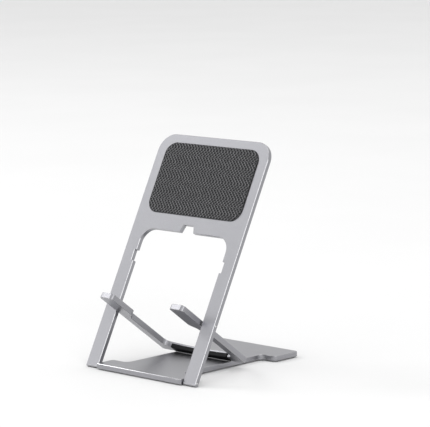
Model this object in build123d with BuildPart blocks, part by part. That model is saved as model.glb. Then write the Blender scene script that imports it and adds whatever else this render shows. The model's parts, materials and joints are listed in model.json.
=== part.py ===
"""Folding X-frame phone stand: a base plate, a back plate with a woven pad, and a U bracket.

Three flat aluminium plates open into an X when seen from the side.  The back plate is hinged
to the front of the base plate.  The U bracket is pivoted between the legs of the back plate:
its two tips carry the phone and its crossbar rests on the neck of the base plate.  Folded, the
bracket lies inside the window of the back plate, and both lie down on the base plate.

Frame: millimetres, +X to the right, +Y to the back, +Z up.  The origin is on the table, under
the middle of the base plate.
"""
from build123d import *
from math import cos, radians, sin
import os

os.makedirs("parts", exist_ok=True)

# Attitude of the opened stand
lean_angle = 62.6           # back plate above the table
strut_angle = 36.5          # bracket arms below the horizontal, towards the back

# Base plate
base_thickness = 2.7
base_front = 3.0            # front edge to hinge axis
base_shoulder = 9.4         # hinge axis to the back of the wide front bar
base_tail_start = 70.9      # hinge axis to the front of the tail
base_tail_end = 89.9        # hinge axis to the back edge
base_half_width = 31.0
neck_half_width = 20.3
tail_half_width = 30.0
neck_corner_radius = 3.5
shoulder_corner_radius = 1.8
tail_corner_radius = 3.0
base_back_radius = 2.0
base_front_radius = 0.8

# Back plate
plate_thickness = 2.5
plate_half_width = 40.0
plate_top = 132.1           # hinge axis to the top edge, along the plate
leg_overhang = 1.9          # leg end below the hinge axis, along the plate
leg_end_radius = 1.0
plate_corner_radius = 10.0
window_half_width = 31.4
window_top = 78.1
window_corner_radius = 8.0
finger_notch_depth = 4.1
finger_notch_mouth = 9.8
finger_notch_floor = 7.2
leg_notch_low = 59.0
leg_notch_high = 65.2
leg_notch_depth = 1.5

# Woven pad on the back plate
pad_half_width = 33.9
pad_low = 87.1
pad_high = 127.5
pad_corner_radius = 7.0
pad_pocket_depth = 0.2
pad_thickness = 0.8
pad_play = 0.1

# U bracket, measured from its pivot: negative to the tips, positive to the crossbar
pivot_distance = 31.1       # hinge axis to bracket pivot, along the back plate
bracket_thickness = 3.0
arm_outer = 30.4
arm_inner = 25.0
tip_inner = 20.8
tip_end = -17.7
tip_step_front = 0.8
tip_step_back = 4.2
tip_corner_radius = 2.0
crossbar_side = 36.2
crossbar_middle = 38.3
bracket_end = 41.9
bracket_corner_radius = 1.5
arm_root_radius = 3.0
tip_step_radius = 3.0

# Silicone pieces
bumper_half_width = 20.5
bumper_end = 41.3           # lowest edge of the bracket, so that silicone meets the base first
bumper_skin = 0.4
bumper_lip = 0.5
bumper_lip_top = 0.4        # above the middle of the bracket's thickness
bumper_edge_radius = 0.3
foot_proud = 0.6
foot_pocket_depth = 0.4
foot_corner_radius = 2.0
foot_chamfer = 0.2
front_foot_size = (50.0, 7.0)
rear_foot_size = (48.0, 12.0)
cradle_pad_proud = 0.15
cradle_pad_pocket = 0.5
cradle_pad_size = (5.0, 11.0)
cradle_pad_radius = 1.2

# Hinges
pin_radius = 0.75
pin_recess = 0.1
pin_chamfer = 0.15
bush_radius = 1.0
running_clearance = 0.03
base_bore_depth = 7.2
arm_bore_depth = 6.6
bore_end_gap = 0.2
washer_radius = 1.15
washer_clearance = 0.05
side_play = 0.02
spring_sheet = 0.2

edge_chamfer = 0.15

# Places worked out from the dimensions above
hinge_y = (base_front - base_tail_end) / 2
hinge_z = foot_proud + base_thickness / 2
base_bottom = foot_proud
lean_up = Vector(0, cos(radians(lean_angle)), sin(radians(lean_angle)))
lean_front = Vector(0, -sin(radians(lean_angle)), cos(radians(lean_angle)))
hinge_point = Vector(0, hinge_y, hinge_z)
pivot_point = hinge_point + lean_up * pivot_distance
strut_back = Vector(0, cos(radians(strut_angle)), -sin(radians(strut_angle)))
strut_top = Vector(0, sin(radians(strut_angle)), cos(radians(strut_angle)))

# Middle planes of the back plate (local Y runs up it, local Z faces the phone) and of the
# bracket (local Y runs to the crossbar, local Z is its upper side)
plate_plane = Plane(origin=hinge_point, x_dir=(1, 0, 0), z_dir=lean_front)
bracket_plane = Plane(origin=pivot_point, x_dir=(1, 0, 0), z_dir=strut_top)

# The same directions as axes, by which faces and edges are chosen
plate_up = Axis(hinge_point, lean_up)
plate_out = Axis(hinge_point, lean_front)
bracket_back = Axis(pivot_point, strut_back)
bracket_up = Axis(pivot_point, strut_top)

sides = {"left": -1, "right": 1}


def side_plane(x):
    """Plane square to X, whose local axes are Y and Z."""
    return Plane.YZ.offset(x)


def corner_pair(sketch, x, y):
    """The sketch's corners nearest to (x, y) and to its mirror image."""
    return [sketch.vertices().sort_by_distance((side * x, y, 0))[0] for side in sides.values()]


def finish(piece, name):
    """Label a finished piece and write its STEP file."""
    piece.part.label = name
    export_step(piece.part, f"parts/{name}.step")


# ---------------------------------------------------------------- base plate
front_bar_y = hinge_y + (base_shoulder - base_front) / 2
tail_middle_y = hinge_y + (base_tail_start + base_tail_end) / 2
shoulder_y = hinge_y + base_shoulder
tail_y = hinge_y + base_tail_start
back_y = hinge_y + base_tail_end
front_y = hinge_y - base_front

with BuildPart() as base_plate:
    with BuildSketch(Plane.XY.offset(base_bottom)) as base_outline:
        with Locations((0, front_bar_y)):
            Rectangle(2 * base_half_width, shoulder_y - front_y)
        with Locations((0, (front_y + back_y) / 2)):
            Rectangle(2 * neck_half_width, back_y - front_y)
        with Locations((0, tail_middle_y)):
            Rectangle(2 * tail_half_width, back_y - tail_y)
        fillet(corner_pair(base_outline, neck_half_width, shoulder_y), neck_corner_radius)
        fillet(corner_pair(base_outline, neck_half_width, tail_y), neck_corner_radius)
        fillet(corner_pair(base_outline, base_half_width, shoulder_y), shoulder_corner_radius)
        fillet(corner_pair(base_outline, tail_half_width, tail_y), tail_corner_radius)
        fillet(corner_pair(base_outline, tail_half_width, back_y), base_back_radius)
        fillet(corner_pair(base_outline, base_half_width, front_y), base_front_radius)
    extrude(amount=base_thickness)
    chamfer(base_plate.faces().filter_by(Axis.Z).edges(), edge_chamfer)
    with BuildSketch(Plane.XY.offset(base_bottom)):
        with Locations((0, front_bar_y)):
            RectangleRounded(*front_foot_size, foot_corner_radius)
        with Locations((0, tail_middle_y)):
            RectangleRounded(*rear_foot_size, foot_corner_radius)
    extrude(amount=foot_pocket_depth, mode=Mode.SUBTRACT)
    for side in sides.values():
        with BuildSketch(side_plane(side * base_half_width)):
            with Locations((hinge_y, hinge_z)):
                Circle(bush_radius)
        extrude(amount=-side * base_bore_depth, mode=Mode.SUBTRACT)
finish(base_plate, "base_plate")

for name, size, foot_y in (
    ("front_foot_pad", front_foot_size, front_bar_y),
    ("rear_foot_pad", rear_foot_size, tail_middle_y),
):
    with BuildPart() as foot_pad:
        with BuildSketch(Plane.XY):
            with Locations((0, foot_y)):
                RectangleRounded(*size, foot_corner_radius)
        extrude(amount=foot_proud + foot_pocket_depth)
        chamfer(foot_pad.faces().sort_by(Axis.Z)[0].edges(), foot_chamfer)
    finish(foot_pad, name)

# ---------------------------------------------------------------- back plate
pad_middle = (pad_low + pad_high) / 2
pad_height = pad_high - pad_low
pad_size = (2 * (pad_half_width - pad_play), pad_height - 2 * pad_play)
front_face_offset = plate_thickness / 2

with BuildPart() as back_plate:
    with BuildSketch(plate_plane) as plate_outline:
        with Locations((0, (plate_top - leg_overhang) / 2)):
            Rectangle(2 * plate_half_width, plate_top + leg_overhang)
        fillet(plate_outline.vertices().group_by(Axis.Y)[-1], plate_corner_radius)
    extrude(amount=plate_thickness / 2, both=True)
    with BuildSketch(plate_plane) as window:
        with Locations((0, (window_top - 2 * leg_overhang) / 2)):
            Rectangle(2 * window_half_width, window_top + 2 * leg_overhang)
        fillet(window.vertices().group_by(Axis.Y)[-1], window_corner_radius)
        with BuildLine():
            Polyline(
                (-finger_notch_mouth / 2, window_top / 2),
                (-finger_notch_mouth / 2, window_top),
                (-finger_notch_floor / 2, window_top + finger_notch_depth),
                (finger_notch_floor / 2, window_top + finger_notch_depth),
                (finger_notch_mouth / 2, window_top),
                (finger_notch_mouth / 2, window_top / 2),
                close=True,
            )
        make_face()
        with Locations((0, (leg_notch_low + leg_notch_high) / 2)):
            Rectangle(2 * (window_half_width + leg_notch_depth), leg_notch_high - leg_notch_low)
    extrude(amount=plate_thickness / 2, both=True, mode=Mode.SUBTRACT)
    faces_by_depth = back_plate.faces().sort_by(plate_out)
    plate_rims = faces_by_depth[0].edges() + faces_by_depth[-1].edges()
    leg_end_edges = plate_rims.group_by(plate_up)[0]
    chamfer([edge for edge in plate_rims if edge not in leg_end_edges], edge_chamfer)
    leg_end_edges = back_plate.edges().filter_by(Axis.X).group_by(plate_up)[0]
    fillet(leg_end_edges, leg_end_radius)
    with BuildSketch(plate_plane.offset(front_face_offset)):
        with Locations((0, pad_middle)):
            RectangleRounded(2 * pad_half_width, pad_height, pad_corner_radius)
    extrude(amount=-pad_pocket_depth, mode=Mode.SUBTRACT)
    with BuildSketch(Plane.YZ):
        with Locations((hinge_y, hinge_z), (pivot_point.Y, pivot_point.Z)):
            Circle(pin_radius)
    extrude(amount=plate_half_width, both=True, mode=Mode.SUBTRACT)
finish(back_plate, "back_plate")

with BuildPart() as pad_backing:
    with BuildSketch(plate_plane.offset(front_face_offset - pad_pocket_depth)):
        with Locations((0, pad_middle)):
            RectangleRounded(*pad_size, pad_corner_radius)
    extrude(amount=pad_pocket_depth)
finish(pad_backing, "pad_backing")

with BuildPart() as fabric_pad:
    with BuildSketch(plate_plane.offset(front_face_offset)):
        with Locations((0, pad_middle)):
            RectangleRounded(*pad_size, pad_corner_radius)
    extrude(amount=pad_thickness)
    pad_front = fabric_pad.faces().sort_by(plate_out)[-1]
    fillet(pad_front.edges(), pad_thickness / 2)
finish(fabric_pad, "fabric_pad")

# ---------------------------------------------------------------- U bracket
cradle_pad_x = (tip_inner + arm_outer) / 2
cradle_pad_y = tip_end / 2
half_bracket = bracket_thickness / 2


def across_crossbar(shift):
    """The three points of the crossbar's inner edge, moved along the arms."""
    return (
        (-arm_inner, crossbar_side + shift),
        (0, crossbar_middle + shift),
        (arm_inner, crossbar_side + shift),
    )


with BuildPart() as bracket:
    with BuildSketch(bracket_plane) as bracket_outline:
        with Locations((0, (tip_end + bracket_end) / 2)):
            Rectangle(2 * arm_outer, bracket_end - tip_end)
        fillet(bracket_outline.vertices().group_by(Axis.Y)[-1], bracket_corner_radius)
    extrude(amount=half_bracket, both=True)
    with BuildSketch(bracket_plane) as gap:
        with BuildLine():
            Polyline(
                (-arm_inner, crossbar_side),
                (-arm_inner, tip_step_back),
                (-tip_inner, tip_step_front),
                (-tip_inner, tip_end),
                (tip_inner, tip_end),
                (tip_inner, tip_step_front),
                (arm_inner, tip_step_back),
                (arm_inner, crossbar_side),
            )
            ThreePointArc(*across_crossbar(0))
        make_face()
        fillet(corner_pair(gap, tip_inner, tip_step_front), tip_step_radius)
        fillet(corner_pair(gap, arm_inner, tip_step_back), tip_step_radius)
        fillet(corner_pair(gap, arm_inner, crossbar_side), arm_root_radius)
    extrude(amount=half_bracket, both=True, mode=Mode.SUBTRACT)
    upright_edges = bracket.edges().filter_by(bracket_up)
    fillet(upright_edges.group_by(bracket_back)[0], tip_corner_radius)
    faces_by_height = bracket.faces().sort_by(bracket_up)
    chamfer(faces_by_height[0].edges() + faces_by_height[-1].edges(), edge_chamfer)
    with BuildSketch(bracket_plane.offset(half_bracket)):
        with Locations((-cradle_pad_x, cradle_pad_y), (cradle_pad_x, cradle_pad_y)):
            RectangleRounded(*cradle_pad_size, cradle_pad_radius)
    extrude(amount=-cradle_pad_pocket, mode=Mode.SUBTRACT)
    for side in sides.values():
        with BuildSketch(side_plane(side * arm_outer)):
            with Locations((pivot_point.Y, pivot_point.Z)):
                Circle(bush_radius)
        extrude(amount=-side * arm_bore_depth, mode=Mode.SUBTRACT)
finish(bracket, "bracket")

bumper_plane = bracket_plane.offset(-half_bracket - bumper_skin)

with BuildPart() as bracket_bumper:
    with BuildSketch(bumper_plane):
        with BuildLine():
            front_arc = ThreePointArc(*across_crossbar(-bumper_lip))
            Polyline(front_arc @ 1, (arm_inner, bumper_end), (-arm_inner, bumper_end), front_arc @ 0)
        make_face()
        Rectangle(2 * bumper_half_width, 2 * bracket_end, mode=Mode.INTERSECT)
    extrude(amount=bumper_skin)
    with BuildSketch(bumper_plane):
        with BuildLine():
            front_arc = ThreePointArc(*across_crossbar(-bumper_lip))
            back_arc = ThreePointArc(*across_crossbar(0))
            Line(front_arc @ 0, back_arc @ 0)
            Line(front_arc @ 1, back_arc @ 1)
        make_face()
        Rectangle(2 * bumper_half_width, 2 * bracket_end, mode=Mode.INTERSECT)
    extrude(amount=bumper_skin + half_bracket + bumper_lip_top)
    end_edges = bracket_bumper.edges().filter_by(bracket_up)
    fillet(end_edges.group_by(bracket_back)[0], bumper_lip / 2)
    underside_arcs = bracket_bumper.faces().sort_by(bracket_up)[0].edges().filter_by(GeomType.CIRCLE)
    fillet(underside_arcs.sort_by(SortBy.LENGTH)[-1], bumper_edge_radius)
finish(bracket_bumper, "bracket_bumper")

for name, side in sides.items():
    with BuildPart() as cradle_pad:
        with BuildSketch(bracket_plane.offset(half_bracket - cradle_pad_pocket)):
            with Locations((side * cradle_pad_x, cradle_pad_y)):
                RectangleRounded(*cradle_pad_size, cradle_pad_radius)
        extrude(amount=cradle_pad_pocket + cradle_pad_proud)
    finish(cradle_pad, f"cradle_pad_{name}")

# ---------------------------------------------------------------- hinges
washer_hole = pin_radius + washer_clearance


def make_pin(side, center, inner_x):
    """Pin pressed into a leg from its outer side, reaching inwards to inner_x."""
    outer_x = plate_half_width - pin_recess
    with BuildPart() as pin:
        with BuildSketch(side_plane(side * outer_x)):
            with Locations((center.Y, center.Z)):
                Circle(pin_radius)
        extrude(amount=-side * (outer_x - inner_x))
        chamfer(pin.edges().filter_by(GeomType.CIRCLE), pin_chamfer)
    return pin


def make_ring(side, center, start_x, end_x, outer_radius, inner_radius):
    """Plain ring on a hinge axis, between two distances from the middle of the stand."""
    with BuildPart() as ring:
        with BuildSketch(side_plane(side * start_x)):
            with Locations((center.Y, center.Z)):
                Circle(outer_radius)
                Circle(inner_radius, mode=Mode.SUBTRACT)
        extrude(amount=side * (end_x - start_x))
    return ring


def make_disc_spring(side, center, start_x, end_x):
    """Coned ring that keeps the bracket's pivot stiff."""
    axial = Plane(origin=center, x_dir=(1, 0, 0), z_dir=(0, 0, 1))
    with BuildPart() as spring:
        with BuildSketch(axial):
            with BuildLine():
                Polyline(
                    (side * start_x, washer_hole),
                    (side * (start_x + spring_sheet), washer_hole),
                    (side * end_x, washer_radius),
                    (side * (end_x - spring_sheet), washer_radius),
                    close=True,
                )
            make_face()
        revolve(axis=Axis(center, (1, 0, 0)))
    return spring


bush_hole = pin_radius + running_clearance
pivot_gap_middle = (arm_outer + window_half_width) / 2
base_bore_end = base_half_width - base_bore_depth
arm_bore_end = arm_outer - arm_bore_depth

for name, side in sides.items():
    base_pin = make_pin(side, hinge_point, base_bore_end + bore_end_gap)
    finish(base_pin, f"base_pin_{name}")
    base_bush = make_ring(side, hinge_point, base_bore_end, base_half_width, bush_radius, bush_hole)
    finish(base_bush, f"base_bush_{name}")
    base_washer = make_ring(
        side, hinge_point, base_half_width, window_half_width - side_play, washer_radius, washer_hole
    )
    finish(base_washer, f"base_washer_{name}")
    pivot_pin = make_pin(side, pivot_point, arm_bore_end + bore_end_gap)
    finish(pivot_pin, f"pivot_pin_{name}")
    pivot_bush = make_ring(side, pivot_point, arm_bore_end, arm_outer, bush_radius, bush_hole)
    finish(pivot_bush, f"pivot_bush_{name}")
    pivot_washer = make_ring(side, pivot_point, arm_outer, pivot_gap_middle, washer_radius, washer_hole)
    finish(pivot_washer, f"pivot_washer_{name}")
    pivot_spring = make_disc_spring(
        side, pivot_point, pivot_gap_middle, window_half_width - side_play
    )
    finish(pivot_spring, f"pivot_spring_{name}")
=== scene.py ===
"""Looks of a folding X-frame phone stand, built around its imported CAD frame.

Everything is in metres in the frame's own axes: +X to the right, +Y to the back, +Z up, with the
origin on the table under the middle of the base plate.  The CAD nodes keep their shapes and get
procedural materials; the woven pad is a mesh of its own with the relief of its herringbone weave.
"""

import json
from math import cos, floor, hypot, pi, radians, sin, sqrt

import bmesh
import bpy
from mathutils import Matrix, Vector


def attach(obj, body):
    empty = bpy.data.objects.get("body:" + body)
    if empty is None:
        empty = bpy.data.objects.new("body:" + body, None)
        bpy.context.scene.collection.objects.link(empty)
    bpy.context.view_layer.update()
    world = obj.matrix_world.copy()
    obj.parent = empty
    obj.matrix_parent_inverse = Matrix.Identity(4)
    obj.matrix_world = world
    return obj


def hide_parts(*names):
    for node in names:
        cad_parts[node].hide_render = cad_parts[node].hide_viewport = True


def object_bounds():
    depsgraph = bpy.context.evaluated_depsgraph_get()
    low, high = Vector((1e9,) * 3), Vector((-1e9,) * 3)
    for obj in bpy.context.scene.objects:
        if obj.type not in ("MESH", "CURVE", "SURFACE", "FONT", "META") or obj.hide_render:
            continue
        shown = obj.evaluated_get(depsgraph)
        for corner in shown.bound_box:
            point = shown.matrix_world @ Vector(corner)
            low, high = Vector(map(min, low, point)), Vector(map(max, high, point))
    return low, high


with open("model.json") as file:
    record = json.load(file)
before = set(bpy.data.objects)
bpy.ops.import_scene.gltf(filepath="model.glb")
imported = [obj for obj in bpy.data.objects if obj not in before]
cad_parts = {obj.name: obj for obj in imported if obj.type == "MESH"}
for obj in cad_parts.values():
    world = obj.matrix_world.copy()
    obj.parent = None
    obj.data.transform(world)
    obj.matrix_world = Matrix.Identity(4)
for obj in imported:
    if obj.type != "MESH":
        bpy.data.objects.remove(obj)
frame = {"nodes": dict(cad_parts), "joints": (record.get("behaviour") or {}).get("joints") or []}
cad_low, cad_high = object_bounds()
nodes = frame["nodes"]
joints = {joint["name"]: joint for joint in frame["joints"]}

MM = 0.001
RIGHT = Vector((1, 0, 0))
UP = Vector((0, 0, 1))

# Directions of the leaning plate, from the two hinge axes that lie in it
HINGE = Vector(joints["plate_fold"]["pos_m"])
PIVOT = Vector(joints["bracket_fold"]["pos_m"])
PLATE_UP = (PIVOT - HINGE).normalized()
PLATE_FRONT = RIGHT.cross(PLATE_UP)

# Square to the bracket's plate, on either side: the normal of its largest face
BRACKET_NORMAL = max(nodes["bracket"].data.polygons, key=lambda face: face.area).normal.copy()


# ------------------------------------------------------------------ node trees
class Tree:
    """A material's node tree, with short calls that add a node and return its output."""

    def __init__(self, name):
        self.material = bpy.data.materials.new(name)
        self.material.use_nodes = True
        self.nodes = self.material.node_tree.nodes
        self.links = self.material.node_tree.links
        self.shader = self.nodes["Principled BSDF"]
        place = self.nodes.new("ShaderNodeTexCoord")
        self.place = place.outputs["Object"]
        self.normal = place.outputs["Normal"]
        self.uv = place.outputs["UV"]

    def feed(self, socket, value):
        """Link an output to a socket, or set the socket's own value."""
        if isinstance(value, bpy.types.NodeSocket):
            self.links.new(value, socket)
        else:
            socket.default_value = value

    def set(self, **values):
        """Values of the shader's sockets, by their names with _ for each space."""
        for name, value in values.items():
            self.feed(self.shader.inputs[name.replace("_", " ")], value)

    def math(self, operation, first, second=0.0, third=0.0):
        node = self.nodes.new("ShaderNodeMath")
        node.operation = operation
        for socket, value in zip(node.inputs, (first, second, third)):
            self.feed(socket, value)
        return node.outputs[0]

    def vector_math(self, operation, first, second):
        node = self.nodes.new("ShaderNodeVectorMath")
        node.operation = operation
        self.feed(node.inputs[0], first)
        self.feed(node.inputs[1], second)
        return node.outputs["Value" if operation == "DOT_PRODUCT" else "Vector"]

    def split(self, vector):
        node = self.nodes.new("ShaderNodeSeparateXYZ")
        self.feed(node.inputs[0], vector)
        return node.outputs

    def noise(self, scale, detail=2.0, roughness=0.5, where=None):
        """Noise with about `scale` features in a metre, from 0 to 1."""
        node = self.nodes.new("ShaderNodeTexNoise")
        self.feed(node.inputs["Vector"], where or self.place)
        node.inputs["Scale"].default_value = scale
        node.inputs["Detail"].default_value = detail
        node.inputs["Roughness"].default_value = roughness
        return node.outputs["Fac"]

    def ramp(self, value, low, high, to_low=0.0, to_high=1.0):
        """Value from low..high mapped smoothly to to_low..to_high, and held beyond."""
        node = self.nodes.new("ShaderNodeMapRange")
        node.interpolation_type = "SMOOTHSTEP"
        for name, number in (
            ("From Min", low), ("From Max", high), ("To Min", to_low), ("To Max", to_high)
        ):
            node.inputs[name].default_value = number
        self.feed(node.inputs["Value"], value)
        return node.outputs["Result"]

    def mix(self, share, first, second, blend="MIX"):
        """Colour mix; a colour is three numbers or an output."""
        node = self.nodes.new("ShaderNodeMix")
        node.data_type = "RGBA"
        node.blend_type = blend
        self.feed(node.inputs["Factor"], share)
        for name, colour in (("A", first), ("B", second)):
            socket = [s for s in node.inputs if s.name == name and s.type == "RGBA"][0]
            self.feed(socket, colour if isinstance(colour, bpy.types.NodeSocket) else (*colour, 1))
        return [s for s in node.outputs if s.type == "RGBA"][0]

    def blend_values(self, share, first, second):
        """first where share is 0, second where it is 1."""
        return self.math("MULTIPLY_ADD", self.math("SUBTRACT", second, first), share, first)

    def grey(self, value):
        """Colour whose three parts are the value."""
        node = self.nodes.new("ShaderNodeCombineColor")
        for socket in node.inputs:
            self.feed(socket, value)
        return node.outputs[0]

    def bump(self, height, distance, strength):
        """Normal of a relief that is `distance` deep."""
        node = self.nodes.new("ShaderNodeBump")
        node.inputs["Distance"].default_value = distance
        node.inputs["Strength"].default_value = strength
        self.feed(node.inputs["Height"], height)
        return node.outputs["Normal"]


def paint(material, *names):
    """Give CAD nodes a material in every slot."""
    for name in names:
        slots = nodes[name].data.materials
        slots.clear()
        slots.append(material)


# ------------------------------------------------------------------ materials
SATIN = (0.340, 0.340, 0.360)
SATIN_DARKEST = 0.90        # of the satin colour, from one grain of the blasting to the next
SATIN_LIGHTEST = 1.08
MOTTLED = (0.30, 0.30, 0.315)
HANDLED = (0.41, 0.41, 0.42)
CUT_BRIGHT = (0.42, 0.42, 0.43)
CUT_ROUGHNESS = 0.10
CHAMFER_FROM = 0.50, 0.62   # cosines of the lean at which a face begins to count as a chamfer
CHAMFER_TO = 0.80, 0.90     # and at which it counts as flat
TURNING_PITCH = 0.09 * MM


def scaled(colour, factor):
    return tuple(factor * part for part in colour)


def anodised_aluminium(name, flat_axis):
    """Bead-blasted, anodised plate whose narrow chamfers are cut bright.

    flat_axis is square to the plate: the normal of a chamfer leans halfway from it.
    """
    tree = Tree(name)
    lean = tree.math("ABSOLUTE", tree.vector_math("DOT_PRODUCT", tree.normal, flat_axis))
    chamfer = tree.math(
        "MULTIPLY", tree.ramp(lean, *CHAMFER_FROM), tree.ramp(lean, *CHAMFER_TO, 1.0, 0.0)
    )
    blasted = tree.noise(5200, detail=3.0, roughness=0.65)
    mottle = tree.noise(420, detail=3.0)
    handled = tree.noise(38, detail=2.0)
    tone = tree.mix(
        tree.ramp(blasted, 0.3, 0.7), scaled(SATIN, SATIN_DARKEST), scaled(SATIN, SATIN_LIGHTEST)
    )
    tone = tree.mix(tree.ramp(mottle, 0.25, 0.75, 0.0, 0.10), tone, MOTTLED)
    tone = tree.mix(tree.ramp(handled, 0.45, 0.75, 0.0, 0.10), tone, HANDLED)
    worn = tree.math("MULTIPLY", chamfer, tree.ramp(tree.noise(900, detail=4.0), 0.30, 0.42))
    rough = tree.ramp(blasted, 0.2, 0.8, 0.31, 0.40)
    rough = tree.math("ADD", rough, tree.ramp(handled, 0.3, 0.8, -0.02, 0.03))
    tree.set(
        Base_Color=tree.mix(worn, tone, CUT_BRIGHT),
        Metallic=1.0,
        Roughness=tree.blend_values(worn, rough, CUT_ROUGHNESS),
        Normal=tree.bump(blasted, 0.02 * MM, 0.25),
    )
    return tree.material


def black_silicone():
    """Matt rubber with a fine grain and a little dust."""
    tree = Tree("black_silicone")
    grain = tree.noise(3600, detail=3.0, roughness=0.6)
    dust = tree.ramp(tree.noise(650, detail=5.0, roughness=0.7), 0.56, 0.72)
    tree.set(
        Base_Color=tree.mix(dust, (0.005, 0.005, 0.006), (0.018, 0.018, 0.019)),
        Roughness=tree.ramp(grain, 0.25, 0.75, 0.42, 0.58),
        Normal=tree.bump(grain, 0.03 * MM, 0.4),
        IOR=1.40,
        Specular_IOR_Level=0.18,
    )
    return tree.material


def turned_steel(name, center):
    """Steel with the fine rings of turning about the axis through center."""
    tree = Tree(name)
    offset = tree.split(tree.vector_math("SUBTRACT", tree.place, center))
    across = tree.math("POWER", offset["Y"], 2.0)
    radius = tree.math("SQRT", tree.math("MULTIPLY_ADD", offset["Z"], offset["Z"], across))
    rings = tree.math("SINE", tree.math("MULTIPLY", radius, 2 * pi / TURNING_PITCH))
    scuff = tree.noise(2600, detail=3.0)
    tree.set(
        Base_Color=tree.mix(tree.ramp(scuff, 0.3, 0.7), (0.66, 0.66, 0.67), (0.80, 0.80, 0.80)),
        Metallic=1.0,
        Roughness=tree.ramp(scuff, 0.2, 0.8, 0.16, 0.30),
        Normal=tree.bump(rings, 0.006 * MM, 0.5),
    )
    return tree.material


def bearing_polymer():
    """Dark moulded plastic with a faint grain."""
    tree = Tree("bearing_polymer")
    grain = tree.noise(5000, detail=2.0)
    tree.set(
        Base_Color=tree.mix(tree.ramp(grain, 0.3, 0.7), (0.045, 0.045, 0.048), (0.060, 0.060, 0.062)),
        Roughness=tree.ramp(grain, 0.2, 0.8, 0.38, 0.52),
        Normal=tree.bump(grain, 0.01 * MM, 0.3),
    )
    return tree.material


def foam_tape():
    """Thin foam whose open cells show, with painted shade darkening the hollow of each cell."""
    tree = Tree("adhesive_foam")
    cells = tree.nodes.new("ShaderNodeTexVoronoi")
    cells.inputs["Scale"].default_value = 4200
    tree.feed(cells.inputs["Vector"], tree.place)
    hollow = tree.ramp(cells.outputs["Distance"], 0.1, 0.6)
    tree.set(
        # Painted shade: darker towards the middle of each cell, in its hollow.
        Base_Color=tree.mix(hollow, (0.020, 0.020, 0.020), (0.045, 0.045, 0.045)),
        Roughness=tree.ramp(hollow, 0.0, 1.0, 0.95, 0.80),
        Normal=tree.bump(hollow, 0.05 * MM, 0.6),
    )
    return tree.material


# ------------------------------------------------------------------ herringbone weave
# One weave serves the pad's relief and its colours: a 2/2 twill whose slant turns back every few
# wefts.  Places in it are counted in yarns.
WARP_PITCH = 0.545 * MM
WEFT_PITCH = 0.535 * MM
BAND = 8                    # wefts from one turn of the slant to the next
REPEAT = 4                  # two over, two under
FLOAT = 2
CRIMP = 0.45                # share of the relief that a yarn rises and dives
ROUND = 1.0 - CRIMP         # share that its rounded back gives
WARPS = (0.168, 0.168, 0.174), (0.066, 0.066, 0.069)        # yarns of two shades in turn
WEFTS = (0.046, 0.046, 0.048), (0.002, 0.002, 0.003)
# Painted shade: near-black colour mixed in along the edges of each yarn, where the yarns meet.
YARN_EDGE_SHADE = (0.002, 0.002, 0.002)
FILAMENTS = 9.0             # features of the noise across one yarn
TWIST = 0.25                # yarns that a filament strays to the side in a length of one yarn
WARP_SHIFT = 7.3            # place of the warps' filaments in the noise, away from the wefts'


def folded(value, span):
    """Up and down between 0 and span, as a folded rule."""
    value = value % (2 * span)
    return value if value <= span else 2 * span - value


def warp_on_top(column, row):
    return (column + folded(row, BAND)) % REPEAT < FLOAT


def float_height(place, crossing_on_top):
    """From -1 under to 1 over, between the crossings on each side of a place along a yarn."""
    before = floor(place - 0.5)
    share = place - 0.5 - before
    share = share * share * (3 - 2 * share)
    low, high = (1.0 if crossing_on_top(before + k) else -1.0 for k in (0, 1))
    return low + (high - low) * share


def weave_height(x, y):
    """Relief from -1 to 1 of the uppermost yarn at a place counted in yarns."""
    column, row = floor(x), floor(y)
    warp = float_height(y, lambda r: warp_on_top(column, r))
    weft = float_height(x, lambda c: not warp_on_top(c, row))
    round_warp = sqrt(max(0.0, 1 - (2 * (x - column) - 1) ** 2))
    round_weft = sqrt(max(0.0, 1 - (2 * (y - row) - 1) ** 2))
    return max(CRIMP * warp + ROUND * round_warp, CRIMP * weft + ROUND * round_weft)


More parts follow.
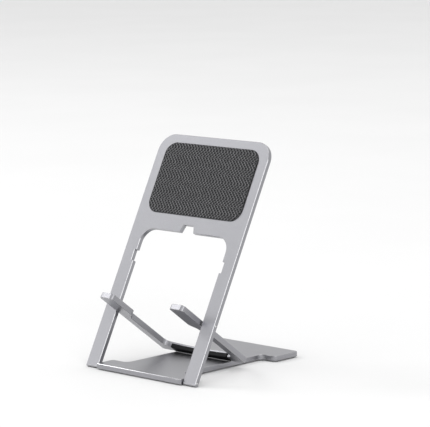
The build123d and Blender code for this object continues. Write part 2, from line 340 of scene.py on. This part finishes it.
def woven_fabric():
    """Yarns of many filaments, the warps lighter than the wefts, with painted shade along each yarn's
    edges; the UV map counts yarns.
    """
    tree = Tree("woven_fabric")
    at = tree.split(tree.uv)
    column, row = tree.math("FLOOR", at["X"]), tree.math("FLOOR", at["Y"])
    slant = tree.math("PINGPONG", row, BAND)
    phase = tree.math("FLOORED_MODULO", tree.math("ADD", column, slant), REPEAT)
    on_top = tree.math("LESS_THAN", phase, FLOAT - 0.5)

    def roundness(along):
        """1 on a yarn's crest and 0 at its edges."""
        off = tree.math("SUBTRACT", tree.math("FRACT", along), 0.5)
        return tree.math("SUBTRACT", 1.0, tree.math("MULTIPLY", tree.math("ABSOLUTE", off), 2.0))

    crest = tree.blend_values(on_top, roundness(at["Y"]), roundness(at["X"]))
    across = tree.blend_values(on_top, at["Y"], at["X"])
    along = tree.blend_values(on_top, at["X"], at["Y"])
    # Filaments lie at a slight slant along each yarn, because it is twisted.
    fibre = tree.nodes.new("ShaderNodeCombineXYZ")
    strayed = tree.math("MULTIPLY_ADD", along, TWIST, across)
    tree.feed(fibre.inputs["X"], tree.math("MULTIPLY", strayed, FILAMENTS))
    tree.feed(fibre.inputs["Y"], along)
    tree.feed(fibre.inputs["Z"], tree.math("MULTIPLY", on_top, WARP_SHIFT))
    strands = tree.noise(1.0, detail=3.0, roughness=0.6, where=fibre.outputs[0])
    # Each float of yarn shows a little lighter or darker than the next.
    cell = tree.nodes.new("ShaderNodeCombineXYZ")
    tree.feed(cell.inputs["X"], column)
    tree.feed(cell.inputs["Y"], row)
    tree.feed(cell.inputs["Z"], on_top)
    uneven = tree.noise(0.55, detail=2.0, roughness=0.7, where=cell.outputs[0])
    warp = tree.mix(tree.math("PINGPONG", column, 1.0), *WARPS)
    weft = tree.mix(tree.math("PINGPONG", row, 1.0), *WEFTS)
    colour = tree.mix(on_top, weft, warp)
    light = tree.math(
        "ADD", tree.ramp(uneven, 0.30, 0.70, 0.55, 1.05), tree.ramp(strands, 0.3, 0.7, 0.0, 0.35)
    )
    colour = tree.mix(1.0, colour, tree.grey(light), "MULTIPLY")
    # Painted shade: the colour darkens towards each yarn's edges, away from its crest.
    colour = tree.mix(tree.ramp(crest, 0.0, 0.45, 0.75, 0.0), colour, YARN_EDGE_SHADE)
    tree.set(
        Base_Color=colour,
        Roughness=tree.ramp(strands, 0.2, 0.8, 0.62, 0.86),
        Normal=tree.bump(strands, 0.04 * MM, 0.7),
        Specular_IOR_Level=0.12,
        Sheen_Weight=0.02,
        Sheen_Roughness=0.5,
    )
    return tree.material


# ------------------------------------------------------------------ woven pad
PAD_CORNER_RADIUS = 7.0 * MM
PAD_EDGE_ROUND = 0.9 * MM
PAD_CROWN = 0.05 * MM       # fall to the middle of each side; the corners fall twice as far
PAD_STEP = 0.35             # share of the thickness that the border rises straight from the plate
RELIEF = 0.055 * MM
CELLS_PER_YARN = 3


def plate_place(point):
    """A point's distance to the right, up the back plate and out of it, from the hinge."""
    away = Vector(point) - HINGE
    return away.dot(RIGHT), away.dot(PLATE_UP), away.dot(PLATE_FRONT)


def plate_point(x, up, out):
    return HINGE + RIGHT * x + PLATE_UP * up + PLATE_FRONT * out


def rounded(x, y, half_width, half_height, radius):
    """A rectangle's point moved so that its corners become arcs of the radius."""
    inner_x, inner_y = half_width - radius, half_height - radius
    over_x, over_y = abs(x) - inner_x, abs(y) - inner_y
    if over_x <= 0 or over_y <= 0:
        return x, y
    a, b = over_x / radius, over_y / radius
    over_x = radius * a * sqrt(1 - b * b / 2)
    over_y = radius * b * sqrt(1 - a * a / 2)
    return (inner_x + over_x) * (1 if x > 0 else -1), (inner_y + over_y) * (1 if y > 0 else -1)


def edge_distance(x, y, half_width, half_height, radius):
    """How far inside the rounded outline a point lies."""
    over_x, over_y = abs(x) - (half_width - radius), abs(y) - (half_height - radius)
    if over_x > 0 and over_y > 0:
        return radius - hypot(over_x, over_y)
    return min(half_width - abs(x), half_height - abs(y))


def make_pad():
    """Woven cloth bonded over thin foam: slightly crowned, with edges that roll down to the plate."""
    places = [plate_place(vertex.co) for vertex in nodes["fabric_pad"].data.vertices]
    half_width = max(x for x, up, out in places)
    low, high = (choose(up for x, up, out in places) for choose in (min, max))
    bottom, top = (choose(out for x, up, out in places) for choose in (min, max))
    half_height, middle = (high - low) / 2, (high + low) / 2
    thickness = top - bottom - RELIEF
    outline = (half_width, half_height, PAD_CORNER_RADIUS)
    columns = round(2 * half_width / WARP_PITCH * CELLS_PER_YARN)
    rows = round(2 * half_height / WEFT_PITCH * CELLS_PER_YARN)

    def spread(count, half):
        """Even places from one edge to the other."""
        return [half * (2 * k / count - 1) for k in range(count + 1)]

    mesh = bmesh.new()
    uv_layer = mesh.loops.layers.uv.new("yarns")
    grid = []
    for y in spread(rows, half_height):
        line = []
        for x in spread(columns, half_width):
            px, py = rounded(x, y, *outline)
            inside = max(0.0, min(1.0, edge_distance(px, py, *outline) / PAD_EDGE_ROUND))
            roll = sqrt(1 - (1 - inside) ** 2)
            crown = PAD_CROWN * ((px / half_width) ** 2 + (py / half_height) ** 2)
            relief = RELIEF * weave_height(px / WARP_PITCH, py / WEFT_PITCH) * inside
            out = bottom + (thickness - crown) * (PAD_STEP + (1 - PAD_STEP) * roll) + relief
            line.append(mesh.verts.new(plate_point(px, middle + py, out)))
        grid.append(line)
    border = (
        grid[0]
        + [line[-1] for line in grid[1:]]
        + grid[-1][-2::-1]
        + [line[0] for line in grid[-2:0:-1]]
    )
    skirt = []
    for vertex in border:
        x, up, _ = plate_place(vertex.co)
        skirt.append(mesh.verts.new(plate_point(x, up, bottom)))
    for below, above in zip(grid, grid[1:]):
        for k in range(columns):
            mesh.faces.new((below[k], below[k + 1], above[k + 1], above[k]))
    for k, vertex in enumerate(border):
        after = (k + 1) % len(border)
        mesh.faces.new((vertex, skirt[k], skirt[after], border[after]))
    mesh.faces.new(reversed(skirt))
    bmesh.ops.recalc_face_normals(mesh, faces=mesh.faces)
    for face in mesh.faces:
        face.smooth = len(face.verts) == 4
        for loop in face.loops:
            x, up, _ = plate_place(loop.vert.co)
            loop[uv_layer].uv = (x / WARP_PITCH, (up - middle) / WEFT_PITCH)
    data = bpy.data.meshes.new("woven_pad")
    mesh.to_mesh(data)
    mesh.free()
    pad = bpy.data.objects.new("woven_pad", data)
    bpy.context.collection.objects.link(pad)
    data.materials.append(woven_fabric())
    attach(pad, "back")
    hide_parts("fabric_pad")


# ------------------------------------------------------------------ studio
FLOOR_COLOUR = (0.82, 0.82, 0.82)
FLOOR_DARKEST = 0.985       # of the floor's colour, in its faint clouding
FLOOR_RADIUS = 6.0
FLOOR_SIDES = 96
SKY_STRENGTH = 0.90
LIGHT_DISTANCE = 2.4


def table_top():
    """Plain pale surface, very faintly clouded."""
    tree = Tree("floor")
    faint = tree.ramp(tree.noise(6.0, detail=2.0), 0.3, 0.7)
    tree.set(
        Base_Color=tree.mix(faint, FLOOR_COLOUR, scaled(FLOOR_COLOUR, FLOOR_DARKEST)),
        Roughness=0.75,
        Specular_IOR_Level=0.2,
    )
    return tree.material


def make_floor():
    """A round pale table top, far larger than the view."""
    mesh = bmesh.new()
    bmesh.ops.create_circle(mesh, cap_ends=True, radius=FLOOR_RADIUS, segments=FLOOR_SIDES)
    data = bpy.data.meshes.new("floor")
    mesh.to_mesh(data)
    mesh.free()
    floor_piece = bpy.data.objects.new("floor", data)
    bpy.context.collection.objects.link(floor_piece)
    data.materials.append(table_top())


def direction(azimuth, elevation):
    """Unit vector from the object: azimuth 0 is the front, 90 the right, in degrees."""
    turn, rise = radians(azimuth), radians(elevation)
    return Vector((sin(turn) * cos(rise), -cos(turn) * cos(rise), sin(rise)))


def softbox(name, azimuth, elevation, width, height, radiance):
    """Rectangular area light that faces the object and looks `radiance` bright."""
    light = bpy.data.lights.new(name, "AREA")
    light.shape = "RECTANGLE"
    light.size, light.size_y = width, height
    light.energy = radiance * pi * width * height
    lamp = bpy.data.objects.new(name, light)
    bpy.context.collection.objects.link(lamp)
    toward = direction(azimuth, elevation)
    lamp.location = (cad_low + cad_high) / 2 + toward * LIGHT_DISTANCE
    lamp.rotation_mode = "QUATERNION"
    lamp.rotation_quaternion = toward.to_track_quat("Z", "Y")
    lamp.visible_camera = False


def make_world():
    """Even white light from all round."""
    world = bpy.data.worlds.new("studio")
    world.use_nodes = True
    sky = world.node_tree.nodes["Background"]
    sky.inputs["Color"].default_value = (1.0, 1.0, 1.0, 1.0)
    sky.inputs["Strength"].default_value = SKY_STRENGTH
    bpy.context.scene.world = world


CAMERA_AZIMUTH = 43.28
CAMERA_ELEVATION = 8.42
CAMERA_ROLL = -0.64
CAMERA_DISTANCE = 1.2686
AIM_RIGHT = 0.00915         # aim point from the middle of the CAD box, across the view
AIM_UP = 0.02096
LENS = 199.85
SENSOR_WIDTH = 36.0
CAMERA_REACH = 100.0        # well past the far edge of the floor


def make_camera():
    """Camera at the photograph's angle."""
    toward = direction(CAMERA_AZIMUTH, CAMERA_ELEVATION)
    across = UP.cross(toward).normalized()
    above = toward.cross(across)
    roll = Matrix.Rotation(radians(CAMERA_ROLL), 3, toward)
    across, above = roll @ across, roll @ above
    camera = bpy.data.cameras.new("camera")
    camera.lens = LENS
    camera.sensor_width = SENSOR_WIDTH
    camera.clip_end = CAMERA_REACH
    view = bpy.data.objects.new("camera", camera)
    bpy.context.collection.objects.link(view)
    center = (cad_low + cad_high) / 2
    place = center + across * AIM_RIGHT + above * AIM_UP + toward * CAMERA_DISTANCE
    axes = Matrix((across, above, toward)).transposed()
    view.matrix_world = Matrix.Translation(place) @ axes.to_4x4()
    bpy.context.scene.camera = view


# ------------------------------------------------------------------ assembly
make_camera()
make_floor()
make_world()
softbox("key_light", -74, 37, 0.9, 0.45, 7.0)
softbox("side_light", -46, 8, 1.3, 1.3, 1.5)
softbox("fill_light", 60, 24, 1.3, 1.3, 2.2)
softbox("top_light", 0, 88, 2.0, 2.0, 1.0)
bpy.context.scene.view_settings.view_transform = "Standard"

paint(anodised_aluminium("aluminium_base", UP), "base_plate")
paint(anodised_aluminium("aluminium_back", PLATE_FRONT), "back_plate")
paint(anodised_aluminium("aluminium_bracket", BRACKET_NORMAL), "bracket")
paint(
    black_silicone(),
    "front_foot_pad", "rear_foot_pad", "bracket_bumper", "cradle_pad_left", "cradle_pad_right",
)
paint(turned_steel("steel_base_pins", HINGE), "base_pin_left", "base_pin_right")
paint(
    turned_steel("steel_pivot", PIVOT),
    "pivot_pin_left", "pivot_pin_right", "pivot_spring_left", "pivot_spring_right",
)
paint(
    bearing_polymer(),
    "base_bush_left", "base_bush_right", "base_washer_left", "base_washer_right",
    "pivot_bush_left", "pivot_bush_right", "pivot_washer_left", "pivot_washer_right",
)
paint(foam_tape(), "pad_backing")
make_pad()
